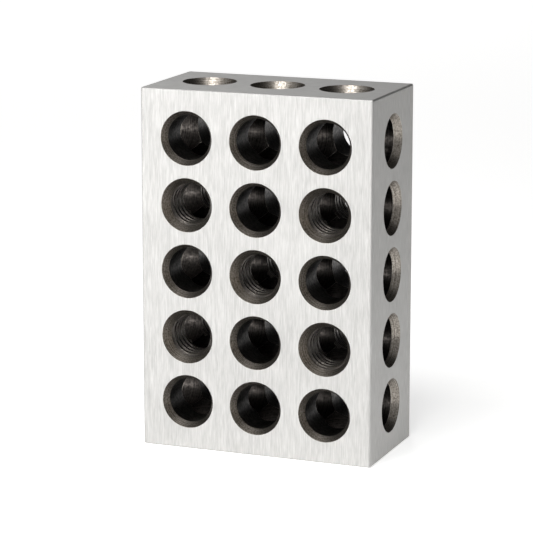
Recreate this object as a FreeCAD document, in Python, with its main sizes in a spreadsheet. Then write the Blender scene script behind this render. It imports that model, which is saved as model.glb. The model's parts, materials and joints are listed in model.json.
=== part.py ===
import FreeCAD, Part
import os
import Sketcher

# Machinist's setup block: one piece of hardened and ground steel, one by two by three
# inches, bored right through on all three axes. The bores of the three directions share
# one grid, so each bore crosses those of the other two at the middle of the block.
#
# Frame: the block stands on one of its two smallest faces. The origin is the centre of
# that face, X runs along the width, Y through the thickness and Z up. Millimetres.

# Driving sizes: alias, value, what it is.
SIZES = (
    ("width", "50.8", "size along X, two inches"),
    ("thickness", "25.4", "size along Y, one inch"),
    ("height", "76.2", "size along Z, three inches"),
    ("edge_break", "0.4", "leg of the chamfer on every outer edge"),
    ("side_margin", "10.16", "from a side face to the axes of the outer columns"),
    ("end_margin", "10.16", "from an end face to the axes of the outer rows"),
    ("bore_diameter", "9.525", "plain bores, three eighths of an inch"),
    ("tap_drill_diameter", "8.334", "bores drilled 21/64 inch, to be tapped 3/8-16"),
    ("mouth_flare", "0.9375", "how far a plain bore's mouth cone widens its radius"),
    ("mouth_angle", "60", "included angle of the cone at each mouth, in degrees"),
)

# Sizes that follow from the driving ones.
COLUMN_PITCH = "(sizes.width - 2 * sizes.side_margin) / 2"
ROW_PITCH = "(sizes.height - 2 * sizes.end_margin) / 4"
MOUTH_DIAMETER = "sizes.bore_diameter + 2 * sizes.mouth_flare"

# The bores through the large face as they stand in it, top row first.
PLAIN = "P"
TAPPED = "T"
LAYOUT = (
    "PPP",
    "TPT",
    "PTP",
    "TPT",
    "PPP",
)

# Columns and rows are counted from the middle of the block, in steps of their pitch.
COLUMNS = (-1, 0, 1)
ROWS = (2, 1, 0, -1, -2)

# How Sketcher names the parts of a sketch in a constraint.
ORIGIN_POINT = (-1, 1)
HORIZONTAL_AXIS = -1
VERTICAL_AXIS = -2
CENTRE = 3


def add_sheet(doc):
    """Fill the spreadsheet that every size in the document is bound to."""
    sheet = doc.addObject("Spreadsheet::Sheet", "sizes")
    for row, (alias, value, note) in enumerate(SIZES, start=1):
        sheet.set(f"A{row}", alias)
        sheet.set(f"B{row}", value)
        sheet.setAlias(f"B{row}", alias)
        sheet.set(f"C{row}", note)
    doc.recompute()


def origin_plane(body, role):
    """Return the body's own origin plane that has this role."""
    return next(plane for plane in body.Origin.OriginFeatures if plane.Role == role)


def add_sketch(body, name, role, offset="0"):
    """Add a sketch parallel to an origin plane, an offset out along its normal."""
    sketch = body.newObject("Sketcher::SketchObject", name)
    sketch.AttachmentSupport = [(origin_plane(body, role), "")]
    sketch.MapMode = "FlatFace"
    sketch.setExpression("AttachmentOffset.Base.z", offset)
    return sketch


def dimension(sketch, formula, kind, *points):
    """Add a dimension to a sketch and bind it to a formula over the sheet."""
    value = sketch.evalExpression(formula)
    index = sketch.addConstraint(Sketcher.Constraint(kind, *points, value))
    sketch.setExpression(f"Constraints[{index}]", formula)


def add_blank(body):
    """Add the blank: a pad of the three overall sizes, centred on the body's origin."""
    sketch = add_sketch(body, "blank_outline", "XY_Plane")
    right = sketch.evalExpression("sizes.width / 2")
    back = sketch.evalExpression("sizes.thickness / 2")
    corners = [
        FreeCAD.Vector(-right, -back, 0),
        FreeCAD.Vector(right, -back, 0),
        FreeCAD.Vector(right, back, 0),
        FreeCAD.Vector(-right, back, 0),
    ]
    for start, end in zip(corners, corners[1:] + corners[:1]):
        sketch.addGeometry(Part.LineSegment(start, end))
    for side, following in ((0, 1), (1, 2), (2, 3), (3, 0)):
        sketch.addConstraint(Sketcher.Constraint("Coincident", side, 2, following, 1))
    for side, direction in enumerate(("Horizontal", "Vertical", "Horizontal", "Vertical")):
        sketch.addConstraint(Sketcher.Constraint(direction, side))
    sketch.addConstraint(Sketcher.Constraint("Symmetric", 0, 1, 2, 1, *ORIGIN_POINT))
    dimension(sketch, "sizes.width", "Distance", 0)
    dimension(sketch, "sizes.thickness", "Distance", 1)

    blank = body.newObject("PartDesign::Pad", "blank")
    blank.Profile = sketch
    blank.Midplane = True
    blank.setExpression("Length", "sizes.height")
    return blank


def break_edges(body, blank):
    """Break all twelve outer edges with a small even chamfer."""
    chamfer = body.newObject("PartDesign::Chamfer", "edge_break")
    edges = [f"Edge{number}" for number in range(1, len(blank.Shape.Edges) + 1)]
    chamfer.Base = (blank, edges)
    chamfer.setExpression("Size", "sizes.edge_break")


def hold_centre(sketch, circle, direction, axis, steps, pitch):
    """Hold a circle's centre some steps of a pitch from the origin, or on an axis at 0."""
    centre = (circle, CENTRE)
    if steps == 0:
        sketch.addConstraint(Sketcher.Constraint("PointOnObject", *centre, axis))
        return
    ends = (*ORIGIN_POINT, *centre) if steps > 0 else (*centre, *ORIGIN_POINT)
    dimension(sketch, f"{abs(steps)} * ({pitch})", direction, *ends)


def add_bores(body, name, role, offset, places, pitches, diameter):
    """Bore right through from one face, with a cone at each bore's near mouth.

    places holds each bore's steps across and up the face, and pitches the two formulas
    that those steps are counted in.
    """
    sketch = add_sketch(body, f"{name}_centres", role, offset)
    across_pitch, up_pitch = pitches
    radius = sketch.evalExpression(diameter) / 2
    for circle, (across, up) in enumerate(places):
        x = across * sketch.evalExpression(across_pitch)
        y = up * sketch.evalExpression(up_pitch)
        centre = FreeCAD.Vector(x, y, 0)
        sketch.addGeometry(Part.Circle(centre, FreeCAD.Vector(0, 0, 1), radius))
        hold_centre(sketch, circle, "DistanceX", VERTICAL_AXIS, across, across_pitch)
        hold_centre(sketch, circle, "DistanceY", HORIZONTAL_AXIS, up, up_pitch)
        dimension(sketch, diameter, "Diameter", circle)
    body.Document.recompute()

    bores = body.newObject("PartDesign::Hole", name)
    bores.Profile = sketch
    bores.DepthType = "ThroughAll"
    bores.HoleCutType = "Countersink"
    bores.setExpression("Diameter", diameter)
    bores.setExpression("HoleCutDiameter", MOUTH_DIAMETER)
    bores.setExpression("HoleCutCountersinkAngle", "sizes.mouth_angle")
    body.Document.recompute()
    return bores


def mirror_mouths(body, name, bores, role):
    """Give the same bores their far mouths by mirroring them about a middle plane."""
    mirrored = body.newObject("PartDesign::Mirrored", name)
    mirrored.Originals = bores
    mirrored.MirrorPlane = (origin_plane(body, role), [""])
    body.Tip = mirrored
    body.Document.recompute()


def places_of(kind):
    """List the column and row steps of every bore of one kind in the layout."""
    return [
        (column, row)
        for row, line in zip(ROWS, LAYOUT)
        for column, letter in zip(COLUMNS, line)
        if letter == kind
    ]


def add_face_bores(body):
    """Bore the grid through the thickness: plain bores and those for the taps."""
    front = "sizes.thickness / 2"
    pitches = (COLUMN_PITCH, ROW_PITCH)
    plain = add_bores(
        body, "plain_face_bores", "XZ_Plane", front, places_of(PLAIN), pitches,
        "sizes.bore_diameter",
    )
    tapped = add_bores(
        body, "tapped_face_bores", "XZ_Plane", front, places_of(TAPPED), pitches,
        "sizes.tap_drill_diameter",
    )
    mirror_mouths(body, "face_bores_far_mouths", [plain, tapped], "XZ_Plane")


def add_side_bores(body):
    """Bore one hole on each row through the width."""
    places = [(0, row) for row in ROWS]
    bores = add_bores(
        body, "side_bores", "YZ_Plane", "sizes.width / 2", places, (COLUMN_PITCH, ROW_PITCH),
        "sizes.bore_diameter",
    )
    mirror_mouths(body, "side_bores_far_mouths", [bores], "YZ_Plane")


def add_end_bores(body):
    """Bore one hole in each column down the height."""
    places = [(column, 0) for column in COLUMNS]
    bores = add_bores(
        body, "end_bores", "XY_Plane", "sizes.height / 2", places, (COLUMN_PITCH, ROW_PITCH),
        "sizes.bore_diameter",
    )
    mirror_mouths(body, "end_bores_far_mouths", [bores], "XY_Plane")


def build_block(doc):
    """Build the block about its own middle and stand it on its end face."""
    body = doc.addObject("PartDesign::Body", "block")
    blank = add_blank(body)
    doc.recompute()
    break_edges(body, blank)
    doc.recompute()
    add_face_bores(body)
    add_side_bores(body)
    add_end_bores(body)
    body.setExpression("Placement.Base.z", "sizes.height / 2")
    return body


def check(doc, body):
    """Stop if any object failed to compute or the block isn't one sound solid."""
    doc.recompute()
    for item in doc.Objects:
        if {"Invalid", "Error"} & set(item.State):
            raise RuntimeError(f"{item.Label} did not compute: {item.State}")
    shape = body.Shape
    if shape.isNull() or not shape.isValid() or len(shape.Solids) != 1:
        raise RuntimeError(f"{body.Label} is not one valid solid")


def main():
    """Build the document, check it and write the block's STEP file."""
    doc = FreeCAD.newDocument("setup_block")
    add_sheet(doc)
    block = build_block(doc)
    check(doc, block)
    os.makedirs("parts", exist_ok=True)
    block.Shape.exportStep(f"parts/{block.Label}.step")
    print(block.Label, round(block.Shape.Volume, 3), block.Shape.BoundBox)


main()
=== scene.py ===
"""The looks of a machinist's setup block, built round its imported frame.

The block is one piece of hardened tool steel, ground on all six faces, bored through in three
directions and tapped in five places. The frame's solid gives its sizes. The piece made here
adds what that solid leaves out: rounded edges, the tool's rings in the countersinks and real
screw threads. Lengths are in metres, and MM turns a figure in millimetres into metres.
"""
import json
import logging
import math
import random
from collections.abc import Iterator
from dataclasses import dataclass, field
from enum import Enum, IntEnum

import bmesh
import bpy
from mathutils import Matrix, Vector

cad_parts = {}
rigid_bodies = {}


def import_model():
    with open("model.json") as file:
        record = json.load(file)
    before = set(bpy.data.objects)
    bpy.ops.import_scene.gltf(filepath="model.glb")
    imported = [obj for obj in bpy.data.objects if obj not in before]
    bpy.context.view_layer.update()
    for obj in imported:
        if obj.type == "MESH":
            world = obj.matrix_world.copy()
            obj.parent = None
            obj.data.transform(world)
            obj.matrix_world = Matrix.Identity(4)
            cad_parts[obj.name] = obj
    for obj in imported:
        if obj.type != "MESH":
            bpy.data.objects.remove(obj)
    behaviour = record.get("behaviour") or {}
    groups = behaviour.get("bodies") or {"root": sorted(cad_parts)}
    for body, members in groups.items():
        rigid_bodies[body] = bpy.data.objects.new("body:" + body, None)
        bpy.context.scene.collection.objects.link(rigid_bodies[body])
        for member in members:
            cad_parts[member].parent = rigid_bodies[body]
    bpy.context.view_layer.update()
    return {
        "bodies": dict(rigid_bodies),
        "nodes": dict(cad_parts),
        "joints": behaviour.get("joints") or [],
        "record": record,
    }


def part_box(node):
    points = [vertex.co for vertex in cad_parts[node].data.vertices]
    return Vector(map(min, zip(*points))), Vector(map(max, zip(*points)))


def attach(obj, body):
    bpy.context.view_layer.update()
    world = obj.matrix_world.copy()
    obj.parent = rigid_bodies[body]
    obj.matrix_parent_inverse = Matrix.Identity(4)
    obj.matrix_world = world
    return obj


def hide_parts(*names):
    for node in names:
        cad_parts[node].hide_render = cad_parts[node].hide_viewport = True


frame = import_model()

MM = 0.001
INCH = 25.4 * MM
BORE_MAP = "bore_map"
MERGE_DISTANCE = 1e-4 * MM
MOUTH_FLARE = 0.9375 * MM
WHITE = "#FFFFFF"
VIEW_CENTRE = (-2.5 * MM, 0.0, 37.6 * MM)

log = logging.getLogger("setup_block")


class Direction(Enum):
    """The three ways through the block."""

    WIDTH = "X"
    THICKNESS = "Y"
    HEIGHT = "Z"

    @property
    def turn(self) -> Matrix:
        """Return the rotation that lays a shape made along Z in this direction."""
        turns = {
            Direction.WIDTH: Matrix.Rotation(math.pi / 2, 4, "Y"),
            Direction.THICKNESS: Matrix.Rotation(-math.pi / 2, 4, "X"),
            Direction.HEIGHT: Matrix.Identity(4),
        }
        return turns[self]


class Surface(IntEnum):
    """The kinds of surface on the block. Each is one material slot of its mesh."""

    FACE = 0
    END = 1
    MOUTH = 2
    BORE = 3
    CREST = 4
    THREAD = 5


class Hole(Enum):
    """How a hole through the large face is finished."""

    PLAIN = "P"
    TAPPED = "T"


def linear(colour: str) -> tuple[float, float, float, float]:
    """Turn an sRGB hex colour into linear red, green, blue and alpha.

    Args:
        colour: six hex digits after a hash sign.

    Returns:
        The colour as a shader socket takes it, fully opaque.
    """
    channels = [int(colour[at:at + 2], 16) / 255 for at in (1, 3, 5)]
    red, green, blue = (
        channel / 12.92 if channel <= 0.04045 else ((channel + 0.055) / 1.055) ** 2.4
        for channel in channels
    )
    return red, green, blue, 1.0


def add_node(
    tree: bpy.types.NodeTree,
    kind: str,
    settings: dict[str, object] | None = None,
    inputs: dict[str | int, object] | None = None,
) -> bpy.types.Node:
    """Add a node, set its properties and fill its sockets.

    Args:
        tree: the node tree that it goes in.
        kind: the node's type name.
        settings: values for the node's own properties.
        inputs: a value for each socket, or the output that feeds it.

    Returns:
        The new node.
    """
    node = tree.nodes.new(kind)
    for name, value in (settings or {}).items():
        setattr(node, name, value)
    for socket, value in (inputs or {}).items():
        if isinstance(value, bpy.types.NodeSocket):
            tree.links.new(value, node.inputs[socket])
        else:
            node.inputs[socket].default_value = value
    return node


def new_material(name: str) -> tuple[bpy.types.Material, bpy.types.NodeTree, bpy.types.Node]:
    """Start a material.

    Args:
        name: the material's name.

    Returns:
        The material, its node tree and its Principled shader.
    """
    material = bpy.data.materials.new(name)
    material.use_nodes = True
    tree = material.node_tree
    return material, tree, tree.nodes["Principled BSDF"]


def new_object(name: str, mesh: bpy.types.Mesh) -> bpy.types.Object:
    """Link a mesh to the scene as an object at the origin.

    Args:
        name: the object's name.
        mesh: what it shows.

    Returns:
        The new object.
    """
    made = bpy.data.objects.new(name, mesh)
    bpy.context.scene.collection.objects.link(made)
    return made


def object_from(name: str, shape: bmesh.types.BMesh) -> bpy.types.Object:
    """Turn a bmesh into an object, and free the bmesh.

    Args:
        name: the name of the object and of its mesh.
        shape: the bmesh, which can't be used afterwards.

    Returns:
        The new object.
    """
    mesh = bpy.data.meshes.new(name)
    shape.to_mesh(mesh)
    shape.free()
    return new_object(name, mesh)


def lay_bore_map(shape: bmesh.types.BMesh, radius: float, shift: float) -> None:
    """Lay a map round a shape made about Z: across it the arc, up it the depth.

    Args:
        shape: the shape to map, still along Z about the origin.
        radius: the radius that an angle is turned into an arc with.
        shift: added to the depth, so that no two bores carry the same marks.
    """
    layer = shape.loops.layers.uv.new(BORE_MAP)
    for face in shape.faces:
        middle = face.calc_center_median()
        facing = math.atan2(middle.y, middle.x)
        for loop in face.loops:
            place = loop.vert.co
            swing = math.atan2(place.y, place.x) - facing
            angle = facing + math.remainder(swing, 2 * math.pi)
            loop[layer].uv = (angle * radius / MM, (place.z + shift) / MM)


@dataclass(frozen=True)
class Countersink:
    """The cone that opens each mouth, with the rings that its tool leaves."""

    mouth_radius: float
    half_angle: float = math.radians(30)
    ring_pitch: float = 0.37 * MM
    ring_depth: float = 0.011 * MM
    shallowest_ring: float = 0.3

    def depth(self, radius: float) -> float:
        """Return how deep the cone is where it meets a bore of this radius."""
        return (self.mouth_radius - radius) / math.tan(self.half_angle)

    def wall(self, radius: float, chance: random.Random) -> list[tuple[float, float]]:
        """List the cone's ringed wall from the mouth down to the bore.

        Args:
            radius: the radius of the bore that the cone leads to.
            chance: draws how deep each ring is.

        Returns:
            Pairs of a radius and a depth below the mouth, not counting the mouth itself.
        """
        depth = self.depth(radius)
        rings = max(1, round(depth / self.ring_pitch))
        points = []
        for step in range(1, 2 * rings):
            down = depth * step / (2 * rings)
            cut = self.ring_depth * chance.uniform(self.shallowest_ring, 1.0) * (1 if step % 2 else -1)
            points.append((self.mouth_radius - down * math.tan(self.half_angle) + cut, down))
        return points + [(radius, depth)]


@dataclass(frozen=True)
class Thread:
    """A 60 degree screw thread, three eighths of an inch, sixteen turns to the inch."""

    pitch: float = INCH / 16
    major_radius: float = 3 / 16 * INCH
    flank_angle: float = math.radians(30)
    root_share: float = 1 / 8
    steps: int = 64
    sink: float = 0.15 * MM

    def groove(self, minor_radius: float, half_length: float) -> bmesh.types.BMesh:
        """Sweep the thread's groove along Z as a closed coil.

        Args:
            minor_radius: the radius of the drilled hole that is tapped.
            half_length: half the length of the hole.

        Returns:
            The coil, sunk a little below the hole's wall and a turn over at each end.
        """
        floor = self.pitch * self.root_share / 2
        base_radius = minor_radius - self.sink
        spread = floor + (self.major_radius - base_radius) * math.tan(self.flank_angle)
        low = -half_length - self.pitch
        section = (
            (base_radius, low - spread),
            (self.major_radius, low - floor),
            (self.major_radius, low + floor),
            (base_radius, low + spread),
        )
        shape = bmesh.new()
        corners = [shape.verts.new((out, 0, up)) for out, up in section]
        face = shape.faces.new(corners)
        turns = math.ceil(2 * (half_length + self.pitch) / self.pitch)
        bmesh.ops.spin(
            shape,
            geom=[face, *face.edges, *corners],
            cent=(0, 0, 0),
            axis=(0, 0, 1),
            dvec=(0, 0, self.pitch / self.steps),
            angle=2 * math.pi * turns,
            steps=turns * self.steps,
            use_merge=False,
            use_duplicate=False,
        )
        bmesh.ops.recalc_face_normals(shape, faces=shape.faces)
        for face in shape.faces:
            face.material_index = Surface.THREAD
        return shape


@dataclass
class Bore:
    """A plain hole right through the block, with a countersink at each mouth."""

    name: str
    centre: Vector
    direction: Direction
    half_length: float
    radius: float
    countersink: Countersink
    number: int
    wall: Surface = Surface.BORE
    steps: int = 96
    overrun: float = 1.0 * MM

    @property
    def place(self) -> Matrix:
        """Return the transform from a shape about Z to this hole."""
        return Matrix.Translation(self.centre) @ self.direction.turn

    def profile(self) -> list[tuple[float, float]]:
        """List the hole's outline as pairs of radius and height, from end to end."""
        chance = random.Random(self.number)
        over = self.overrun
        wide = self.countersink.mouth_radius + over * math.tan(self.countersink.half_angle)
        near = self.countersink.wall(self.radius, chance)
        far = self.countersink.wall(self.radius, chance)
        end = self.half_length
        return [
            (0.0, -end - over),
            (wide, -end - over),
            (self.countersink.mouth_radius, -end),
            *((out, down - end) for out, down in near),
            *((out, end - down) for out, down in reversed(far)),
            (self.countersink.mouth_radius, end),
            (wide, end + over),
            (0.0, end + over),
        ]

    def cutters(self) -> Iterator[bpy.types.Object]:
        """Make the solid that cuts this hole, by spinning its outline."""
        shape = bmesh.new()
        corners = [shape.verts.new((out, 0, up)) for out, up in self.profile()]
        edges = [shape.edges.new(pair) for pair in zip(corners, corners[1:])]
        bmesh.ops.spin(
            shape,
            geom=corners + edges,
            cent=(0, 0, 0),
            axis=(0, 0, 1),
            dvec=(0, 0, 0),
            angle=2 * math.pi,
            steps=self.steps,
            use_merge=True,
            use_duplicate=False,
        )
        bmesh.ops.remove_doubles(shape, verts=shape.verts, dist=MERGE_DISTANCE)
        bmesh.ops.recalc_face_normals(shape, faces=shape.faces)
        cone_starts = self.half_length - self.countersink.depth(self.radius)
        for face in shape.faces:
            in_cone = abs(face.calc_center_median().z) > cone_starts
            face.material_index = Surface.MOUTH if in_cone else self.wall
        yield self.cutter(self.name, shape)

    def cutter(self, name: str, shape: bmesh.types.BMesh) -> bpy.types.Object:
        """Map a cutting shape, put it in this hole's place and make it an object.

        Args:
            name: the object's name.
            shape: the shape about Z, which can't be used afterwards.

        Returns:
            The cutter.
        """
        lay_bore_map(shape, self.radius, self.number * INCH)
        bmesh.ops.transform(shape, matrix=self.place, verts=shape.verts)
        return object_from(name, shape)


@dataclass
class TappedBore(Bore):
    """A hole drilled and tapped right through."""

    thread: Thread = field(default_factory=Thread)
    wall: Surface = Surface.CREST

    def cutters(self) -> Iterator[bpy.types.Object]:
        """Make the drilled hole's cutter, then the thread's."""
        yield from super().cutters()
        groove = self.thread.groove(self.radius, self.half_length)
        yield self.cutter(f"{self.name}_thread", groove)


@dataclass(frozen=True)
class GroundSteel:
    """Hardened tool steel, surface ground: a pale satin scored by fine straight lines.

    The wheel's scratches are a few hundredths of a millimetre wide. They are drawn five
    times as wide, so that they show as the short fine dashes that the eye sees.
    """

    name: str
    grain: Direction
    light: str = "#C7C6C4"
    dark: str = "#B1B0AE"
    line_width: float = 0.2 * MM
    line_length: float = 3.0 * MM
    cloud_size: float = 14 * MM
    line_depth: float = 0.003 * MM
    smoothest: float = 0.52
    roughest: float = 0.64
    cloud_share: float = 0.3
    darkest_at: float = 0.40
    lightest_at: float = 0.90
    roughest_at: float = 0.3
    smoothest_at: float = 0.7

    def make(self) -> bpy.types.Material:
        """Make the material.

        Returns:
            The material, with its lines along the grain.
        """
        material, tree, shader = new_material(self.name)
        across, along = 1 / self.line_width, 1 / self.line_length
        scales = [along if way is self.grain else across for way in Direction]
        place = add_node(tree, "ShaderNodeTexCoord")
        drawn_out = add_node(
            tree, "ShaderNodeMapping", inputs={"Vector": place.outputs["Object"], "Scale": scales}
        )
        lines = add_node(
            tree, "ShaderNodeTexNoise",
            inputs={"Vector": drawn_out.outputs[0], "Scale": 1.0, "Detail": 3.0, "Roughness": 0.6},
        )
        cloud = add_node(
            tree, "ShaderNodeTexNoise",
            inputs={"Vector": place.outputs["Object"], "Scale": 1 / self.cloud_size, "Detail": 2.0},
        )
        shade = add_node(
            tree, "ShaderNodeMath", {"operation": "MULTIPLY_ADD"},
            {0: cloud.outputs[0], 1: self.cloud_share, 2: lines.outputs[0]},
        )
        tone = add_node(
            tree, "ShaderNodeMapRange",
            inputs={"Value": shade.outputs[0], "From Min": self.darkest_at,
                    "From Max": self.lightest_at},
        )
        colour = add_node(
            tree, "ShaderNodeMix", {"data_type": "RGBA"},
            {0: tone.outputs[0], 6: linear(self.dark), 7: linear(self.light)},
        )
        gloss = add_node(
            tree, "ShaderNodeMapRange",
            inputs={"Value": lines.outputs[0], "From Min": self.roughest_at,
                    "From Max": self.smoothest_at, "To Min": self.roughest,
                    "To Max": self.smoothest},
        )
        scratches = add_node(
            tree, "ShaderNodeBump",
            inputs={"Height": lines.outputs[0], "Distance": self.line_depth, "Strength": 1.0},
        )
        tree.links.new(colour.outputs[2], shader.inputs["Base Color"])
        tree.links.new(gloss.outputs[0], shader.inputs["Roughness"])
        tree.links.new(scratches.outputs[0], shader.inputs["Normal"])
        shader.inputs["Metallic"].default_value = 1.0
        return material


@dataclass(frozen=True)
class CutSteel:
    """Steel as a rotating tool left it, browned by the hardening furnace.

    Rings follow the tool round the hole, and flakes of scale break them into specks. The
    rings of a real cutter are finer than can show, so the widest ones stand for them all.
    """

    name: str
    light: str
    dark: str
    ring_width: float
    ring_depth: float
    speck_size: float
    speck_depth: float
    smoothest: float
    roughest: float
    # The colour that edges are painted with: partly wear, partly a painted highlight.
    edge: str = "#B9B4AC"
    edge_radius: float = 0.10 * MM
    edge_starts_at: float = 0.99
    edge_full_at: float = 0.90
    ring_waver: float = 0.12
    speck_share: float = 0.5
    darkest_at: float = 0.38
    lightest_at: float = 0.64
    roughest_at: float = 0.35
    smoothest_at: float = 0.65

    def make(self) -> bpy.types.Material:
        """Make the material.

        Returns:
            The material, with its rings across the bore map's depth.
        """
        material, tree, shader = new_material(self.name)
        place = add_node(tree, "ShaderNodeTexCoord")
        mapped = add_node(tree, "ShaderNodeUVMap", {"uv_map": BORE_MAP})
        depth = add_node(tree, "ShaderNodeSeparateXYZ", inputs={0: mapped.outputs[0]})
        specks = add_node(
            tree, "ShaderNodeTexNoise",
            inputs={"Vector": place.outputs["Object"], "Scale": 1 / self.speck_size,
                    "Detail": 3.0, "Roughness": 0.6},
        )
        wavered = add_node(
            tree, "ShaderNodeMath", {"operation": "MULTIPLY_ADD"},
            {0: specks.outputs[0], 1: self.ring_waver, 2: depth.outputs["Y"]},
        )
        rings = add_node(
            tree, "ShaderNodeTexNoise", {"noise_dimensions": "1D"},
            {"W": wavered.outputs[0], "Scale": MM / self.ring_width, "Detail": 2.0,
             "Roughness": 0.6},
        )
        marks = add_node(
            tree, "ShaderNodeMix", {"data_type": "FLOAT"},
            {0: self.speck_share, 2: rings.outputs[0], 3: specks.outputs[0]},
        )
        tone = add_node(
            tree, "ShaderNodeMapRange",
            inputs={"Value": marks.outputs[0], "From Min": self.darkest_at,
                    "From Max": self.lightest_at},
        )
        scale = add_node(
            tree, "ShaderNodeMix", {"data_type": "RGBA"},
            {0: tone.outputs[0], 6: linear(self.dark), 7: linear(self.light)},
        )
        # Edges found by the bevel are painted towards the edge colour: partly wear, partly a painted
        # highlight where they would catch light.
        rounded = add_node(tree, "ShaderNodeBevel", {"samples": 6}, {"Radius": self.edge_radius})
        flat = add_node(tree, "ShaderNodeNewGeometry")
        agreement = add_node(
            tree, "ShaderNodeVectorMath", {"operation": "DOT_PRODUCT"},
            {0: rounded.outputs[0], 1: flat.outputs["Normal"]},
        )
        edge_wear_and_highlight = add_node(
            tree, "ShaderNodeMapRange",
            inputs={"Value": agreement.outputs["Value"], "From Min": self.edge_starts_at,
                    "From Max": self.edge_full_at},
        )
        colour = add_node(
            tree, "ShaderNodeMix", {"data_type": "RGBA"},
            {0: edge_wear_and_highlight.outputs[0], 6: scale.outputs[2], 7: linear(self.edge)},
        )
        gloss = add_node(
            tree, "ShaderNodeMapRange",
            inputs={"Value": specks.outputs[0], "From Min": self.roughest_at,
                    "From Max": self.smoothest_at, "To Min": self.roughest,
                    "To Max": self.smoothest},
        )
        grooves = add_node(
            tree, "ShaderNodeBump",
            inputs={"Height": rings.outputs[0], "Distance": self.ring_depth,
                    "Normal": rounded.outputs[0]},
        )
        flakes = add_node(
            tree, "ShaderNodeBump",
            inputs={"Height": specks.outputs[0], "Distance": self.speck_depth,
                    "Normal": grooves.outputs[0]},
        )
        tree.links.new(colour.outputs[2], shader.inputs["Base Color"])
        tree.links.new(gloss.outputs[0], shader.inputs["Roughness"])
        tree.links.new(flakes.outputs[0], shader.inputs["Normal"])
        shader.inputs["Metallic"].default_value = 1.0
        return material


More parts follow.
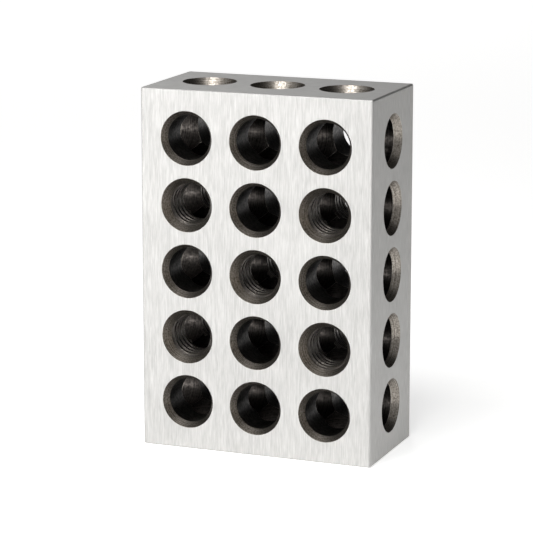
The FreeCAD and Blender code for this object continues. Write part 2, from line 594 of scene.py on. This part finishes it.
@dataclass
class SetupBlock:
    """The whole block: its sizes, its holes and its finishes."""

    low: Vector
    high: Vector
    column_pitch: float
    row_pitch: float
    bore_radius: float
    tap_radius: float
    countersink: Countersink
    edge_radius: float = 0.4 * MM
    edge_steps: int = 5
    layout: tuple[str, ...] = ("PPP", "TPT", "PTP", "TPT", "PPP")
    crease_angle: float = math.radians(21)
    flat_cosine: float = 0.9999
    end_cosine: float = math.sqrt(0.5)

    @classmethod
    def from_frame(cls, packed: dict) -> "SetupBlock":
        """Read the block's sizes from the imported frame.


        Returns:
            The block, at the size that its record and its solid state.
        """
        dims = {mount["name"]: mount["dims"] for mount in packed["record"]["mounts"]}
        corners = dims["face_corner_bores"]
        bore_radius = corners["hole_r_mm"] * MM
        low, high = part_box("block")
        return cls(
            low=low,
            high=high,
            column_pitch=corners["spacing_x_mm"] / 2 * MM,
            row_pitch=corners["spacing_y_mm"] / 4 * MM,
            bore_radius=bore_radius,
            tap_radius=dims["tapped_corner_holes"]["hole_r_mm"] * MM,
            countersink=Countersink(mouth_radius=bore_radius + MOUTH_FLARE),
        )

    @property
    def size(self) -> Vector:
        """Return the block's width, thickness and height."""
        return self.high - self.low

    @property
    def middle(self) -> Vector:
        """Return the block's centre."""
        return (self.high + self.low) / 2

    def bores(self) -> Iterator[Bore]:
        """List every hole: the face's grid, then the rows' and the columns'."""
        number = 0
        width, thickness, height = self.size / 2
        for row, line in enumerate(self.layout):
            up = (len(self.layout) // 2 - row) * self.row_pitch
            for column, letter in enumerate(line):
                across = (column - len(line) // 2) * self.column_pitch
                number += 1
                shared = {
                    "name": f"face_bore_{row}_{column}",
                    "centre": self.middle + Vector((across, 0, up)),
                    "direction": Direction.THICKNESS,
                    "half_length": thickness,
                    "countersink": self.countersink,
                    "number": number,
                }
                if Hole(letter) is Hole.TAPPED:
                    yield TappedBore(radius=self.tap_radius, **shared)
                else:
                    yield Bore(radius=self.bore_radius, **shared)
            number += 1
            yield Bore(
                f"side_bore_{row}", self.middle + Vector((0, 0, up)), Direction.WIDTH,
                width, self.bore_radius, self.countersink, number,
            )
        for column in (-1, 0, 1):
            number += 1
            across = Vector((column * self.column_pitch, 0, 0))
            yield Bore(
                f"end_bore_{column + 1}", self.middle + across, Direction.HEIGHT,
                height, self.bore_radius, self.countersink, number,
            )

    def blank(self) -> bpy.types.Object:
        """Make the block before it is drilled, with every outer edge rounded."""
        shape = bmesh.new()
        bmesh.ops.create_cube(shape, size=1)
        shape.loops.layers.uv.new(BORE_MAP)
        place = Matrix.Translation(self.middle) @ Matrix.Diagonal((*self.size, 1))
        bmesh.ops.transform(shape, matrix=place, verts=shape.verts)
        bmesh.ops.bevel(
            shape,
            geom=shape.edges[:],
            offset=self.edge_radius,
            offset_type="OFFSET",
            segments=self.edge_steps,
            profile=0.5,
            affect="EDGES",
            material=-1,
        )
        return object_from("ground_block", shape)

    def drill(self, piece: bpy.types.Object) -> None:
        """Cut every hole and thread out of the blank in one go.

        Args:
            piece: the blank, which takes the drilled mesh.
        """
        tools = bpy.data.collections.new("cutters")
        bpy.context.scene.collection.children.link(tools)
        cutters = [cutter for bore in self.bores() for cutter in bore.cutters()]
        for thing in (piece, *cutters):
            for surface in Surface:
                thing.data.materials.append(bpy.data.materials[surface.name.lower()])
        for cutter in cutters:
            bpy.context.scene.collection.objects.unlink(cutter)
            tools.objects.link(cutter)
        cut = piece.modifiers.new("drill", "BOOLEAN")
        cut.operation = "DIFFERENCE"
        cut.operand_type = "COLLECTION"
        cut.collection = tools
        cut.solver = "MANIFOLD"
        cut.material_mode = "TRANSFER"
        graph = bpy.context.evaluated_depsgraph_get()
        drilled = bpy.data.meshes.new_from_object(piece.evaluated_get(graph), depsgraph=graph)
        piece.modifiers.clear()
        piece.data = drilled
        drilled.name = piece.name
        for cutter in cutters:
            bpy.data.meshes.remove(cutter.data)
        bpy.data.collections.remove(tools)

    def sort_faces(self, piece: bpy.types.Object) -> None:
        """Give the end faces their own grain, and crease the mesh where it should be crisp.

        Args:
            piece: the drilled block.
        """
        shape = bmesh.new()
        shape.from_mesh(piece.data)
        flats = set()
        for face in shape.faces:
            face.smooth = True
            if face.material_index != Surface.FACE:
                continue
            if abs(face.normal.z) > self.end_cosine:
                face.material_index = Surface.END
            if max(map(abs, face.normal)) > self.flat_cosine:
                flats.add(face)
        for edge in shape.edges:
            borders_flat = len([face for face in edge.link_faces if face in flats]) == 1
            edge.smooth = edge.calc_face_angle(0.0) < self.crease_angle and not borders_flat
        shape.to_mesh(piece.data)
        shape.free()

    def make_finishes(self) -> None:
        """Make one material for each kind of surface, named after it."""
        GroundSteel("face", Direction.HEIGHT).make()
        GroundSteel("end", Direction.WIDTH).make()
        CutSteel(
            "mouth", light="#B4AEA6", dark="#5E574F", ring_width=0.16 * MM,
            ring_depth=0.012 * MM, speck_size=0.35 * MM, speck_depth=0.02 * MM,
            smoothest=0.28, roughest=0.5,
        ).make()
        CutSteel(
            "bore", light="#4A4643", dark="#1E1C1B", ring_width=0.22 * MM,
            ring_depth=0.012 * MM, speck_size=0.6 * MM, speck_depth=0.01 * MM,
            smoothest=0.3, roughest=0.5,
        ).make()
        # The thread crests are painted far lighter than the plain bore walls: partly wear, partly a
        # painted highlight along the crests.
        CutSteel(
            "crest", light="#827E79", dark="#3C3936", ring_width=0.22 * MM,
            ring_depth=0.008 * MM, speck_size=0.5 * MM, speck_depth=0.008 * MM,
            smoothest=0.3, roughest=0.45,
        ).make()
        CutSteel(
            "thread", light="#5A5652", dark="#24211F", ring_width=0.3 * MM,
            ring_depth=0.004 * MM, speck_size=0.4 * MM, speck_depth=0.008 * MM,
            smoothest=0.3, roughest=0.5,
        ).make()

    def build(self) -> bpy.types.Object:
        """Make the block and dress it.

        Returns:
            The finished piece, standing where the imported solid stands.
        """
        self.make_finishes()
        piece = self.blank()
        self.drill(piece)
        self.sort_faces(piece)
        return piece


@dataclass(frozen=True)
class Softbox:
    """A square lamp behind a white cloth. Lengths are in metres and its power is in watts."""

    name: str
    place: tuple[float, float, float]
    aim: tuple[float, float, float]
    side: float
    power: float

    def hang(self) -> None:
        """Hang the lamp in its place, facing its aim and unseen by the camera."""
        light = bpy.data.lights.new(self.name, "AREA")
        light.size = self.side
        light.energy = self.power
        lamp = bpy.data.objects.new(self.name, light)
        lamp.location = self.place
        forward = Vector(self.aim) - Vector(self.place)
        lamp.rotation_euler = forward.to_track_quat("-Z", "Y").to_euler()
        lamp.visible_camera = False
        bpy.context.scene.collection.objects.link(lamp)


@dataclass
class Studio:
    """A pale floor under soft light, seen through a long lens."""

    floor_colour: str = "#F9F9F8"
    floor_reach: float = 4.0
    floor_lift: float = 0.55
    floor_roughness: float = 0.9
    floor_sheen: float = 0.1
    bright_side: tuple[float, float, float] = (-0.2, -0.9, 0.4)
    bright_full_at: float = 0.9
    dim_level: float = 0.02
    bright_level: float = 0.52
    lamps: tuple[Softbox, ...] = (
        Softbox("front_softbox", (-0.6, -0.9, 0.12), VIEW_CENTRE, 0.5, 7.0),
        Softbox("near_softbox", (0.0, -0.2, 0.35), (-0.02, -0.06, 0.0), 0.2, 0.85),
        Softbox("rear_softbox", (-0.5, 0.9, 0.7), (-0.2, 0.6, 0.0), 0.5, 1.9),
    )
    azimuth: float = math.radians(21.61)
    elevation: float = math.radians(12.21)
    distance: float = 0.5506
    lens: float = 176.8
    sensor: float = 36
    nearest: float = 0.01

    def lay_floor(self) -> bpy.types.Object:
        """Lay a wide pale floor, lifted towards white wherever it is seen, plain or in metal.

        Returns:
            The floor.
        """
        shape = bmesh.new()
        bmesh.ops.create_grid(shape, x_segments=1, y_segments=1, size=self.floor_reach)
        floor = object_from("floor", shape)
        material, tree, shader = new_material("matt_white_paper")
        shader.inputs["Base Color"].default_value = linear(self.floor_colour)
        shader.inputs["Roughness"].default_value = self.floor_roughness
        shader.inputs["Specular IOR Level"].default_value = self.floor_sheen
        ray = add_node(tree, "ShaderNodeLightPath")
        seen = ray.outputs["Is Camera Ray"]
        for way in ("Is Glossy Ray", "Is Transmission Ray"):
            either = add_node(
                tree, "ShaderNodeMath", {"operation": "MAXIMUM"}, {0: seen, 1: ray.outputs[way]}
            )
            seen = either.outputs[0]
        lift = add_node(
            tree, "ShaderNodeMath", {"operation": "MULTIPLY"}, {0: seen, 1: self.floor_lift}
        )
        shader.inputs["Emission Color"].default_value = linear(WHITE)
        tree.links.new(lift.outputs[0], shader.inputs["Emission Strength"])
        floor.data.materials.append(material)
        return floor

    def light_room(self) -> None:
        """Light the room from all round, dim behind the block and brighter ahead of it."""
        world = bpy.data.worlds.new("soft_room")
        world.use_nodes = True
        tree = world.node_tree
        way = add_node(tree, "ShaderNodeTexCoord")
        towards = add_node(
            tree, "ShaderNodeVectorMath", {"operation": "DOT_PRODUCT"},
            {0: way.outputs["Generated"], 1: self.bright_side},
        )
        level = add_node(
            tree, "ShaderNodeMapRange", {"interpolation_type": "SMOOTHSTEP"},
            {"Value": towards.outputs["Value"], "From Min": 0.0,
             "From Max": self.bright_full_at, "To Min": self.dim_level,
             "To Max": self.bright_level},
        )
        tree.links.new(level.outputs[0], tree.nodes["Background"].inputs["Strength"])
        tree.nodes["Background"].inputs["Color"].default_value = linear(WHITE)
        bpy.context.scene.world = world

    def set_camera(self) -> None:
        """Set the camera in front of the block, a little above it and to its right."""
        lens = bpy.data.cameras.new("camera")
        lens.lens = self.lens
        lens.sensor_width = self.sensor
        lens.clip_start = self.nearest
        camera = bpy.data.objects.new("camera", lens)
        level = math.cos(self.elevation)
        back = Vector((
            math.sin(self.azimuth) * level,
            -math.cos(self.azimuth) * level,
            math.sin(self.elevation),
        ))
        camera.location = Vector(VIEW_CENTRE) + back * self.distance
        camera.rotation_euler = back.to_track_quat("Z", "Y").to_euler()
        bpy.context.scene.collection.objects.link(camera)
        bpy.context.scene.camera = camera

    def build(self) -> bpy.types.Object:
        """Set up the camera, the light and the floor.

        Returns:
            The floor.
        """
        self.set_camera()
        self.light_room()
        for lamp in self.lamps:
            lamp.hang()
        bpy.context.scene.view_settings.view_transform = "Standard"
        return self.lay_floor()


def main() -> None:
    """Build the studio and the block, and put the block on the frame's root body in place of the
    imported solid.
    """
    logging.basicConfig(level=logging.INFO, format="%(message)s")
    floor = Studio().build()
    log.info("studio: floor, lamps and camera")

    piece = SetupBlock.from_frame(frame).build()
    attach(piece, "root")
    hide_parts("block")
    triangles = sum(len(face.vertices) - 2 for face in piece.data.polygons)
    log.info("%s: %d triangles", piece.name, triangles)


if __name__ == "__main__":
    main()
